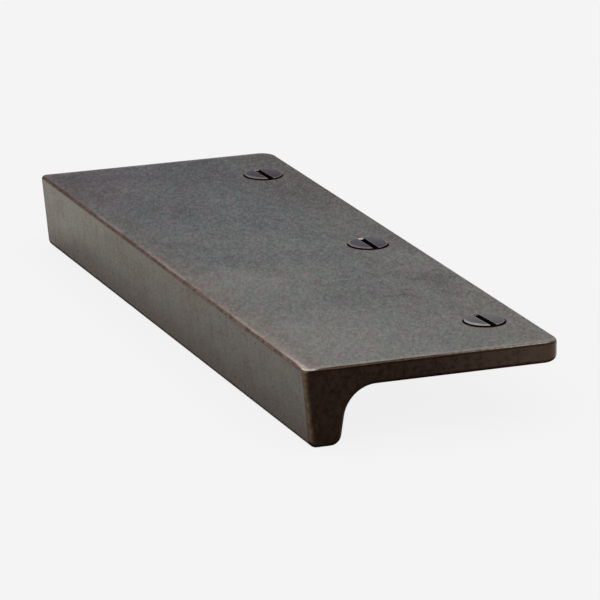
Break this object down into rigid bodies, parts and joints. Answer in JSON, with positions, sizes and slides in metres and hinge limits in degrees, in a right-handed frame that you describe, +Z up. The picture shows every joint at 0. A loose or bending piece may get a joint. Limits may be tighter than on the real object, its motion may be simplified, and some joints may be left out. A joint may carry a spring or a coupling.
{
  "type": "tab pull",
  "caption": "Cast bronze tab pull: a flat plate that screws down over a drawer edge, with a tapered lip along its front to hook the fingers behind.",
  "frame": {"origin": "on the plate's underside, on the axis of the middle screw", "axes": "+X along the pull's length, +Y from the lip towards the back edge, +Z up out of the plate's top face"},
  "size_m": [0.127, 0.0447, 0.0134],
  "materials": {
    "bronze": "dark patina over a fine cast grain, rubbed along the edges",
    "screws": "dark patina, turned and smooth"
  },
  "bodies": {
    "root": {"pull_casting": "bronze", "mounting_screws": "screws"}
  },
  "joints": []
}
